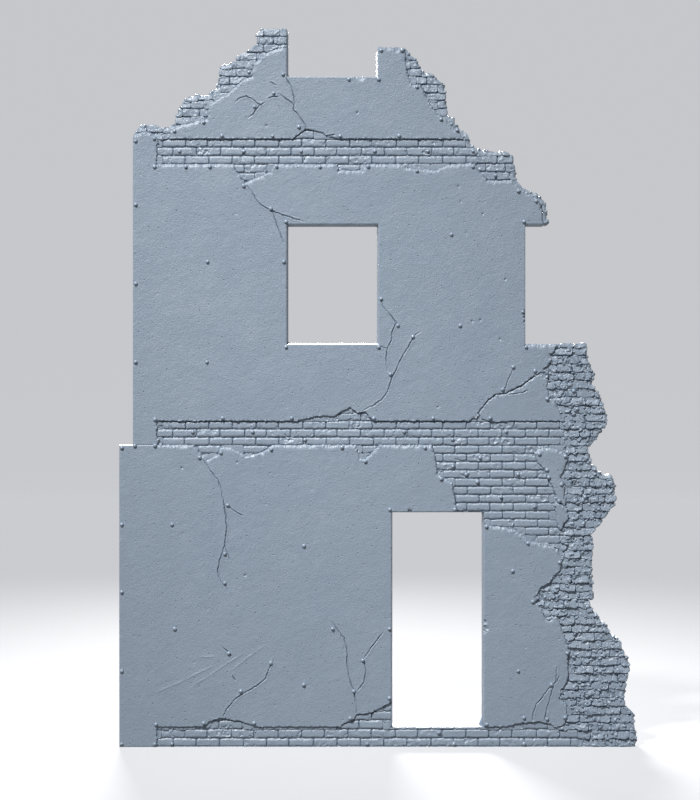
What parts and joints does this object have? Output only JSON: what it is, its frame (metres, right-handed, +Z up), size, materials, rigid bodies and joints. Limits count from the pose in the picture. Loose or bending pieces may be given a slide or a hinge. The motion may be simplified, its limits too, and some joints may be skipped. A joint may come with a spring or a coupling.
{
  "type": "miniature terrain ruin",
  "caption": "Flat scale-model ruin wall: broken plaster over brick courses, with a door opening, a window, a half window and a notched parapet.",
  "frame": {"origin": "on the base line, midway along the overall width and through the overall thickness", "axes": "+Z up the wall, +X to the right along the wall seen from its plastered face, +Y from the plastered face to the flat back"},
  "size_m": [0.1444, 0.0054, 0.2013],
  "materials": {
    "core": "matte, unpainted blue-grey moulding",
    "brick": "matte with a faint sheen on worn brick edges",
    "plaster": "satin-matte, finely grained",
    "pip": "satin"
  },
  "bodies": {
    "root": {"masonry_core": "core", "bricks_band_top": "brick", "bricks_band_middle": "brick", "bricks_band_base": "brick", "bricks_patch": "brick", "bricks_parapet_left": "brick", "bricks_parapet_right": "brick", "bricks_shoulder": "brick", "bricks_edge_upper": "brick", "bricks_edge_middle": "brick", "bricks_edge_lower": "brick", "ends_parapet_left": "brick", "ends_parapet_right": "brick", "ends_shoulder": "brick", "ends_upper": "brick", "ends_middle": "brick", "ends_lower": "brick", "plaster_parapet": "plaster", "plaster_first_floor": "plaster", "plaster_loose_slab": "plaster", "plaster_ground_left": "plaster", "plaster_ground_right": "plaster", "plaster_island_upper": "plaster", "plaster_island_lower": "plaster", "pips_parapet": "pip", "pips_first_floor": "pip", "pips_ground_floor": "pip", "corner_flash": "pip"}
  },
  "joints": []
}
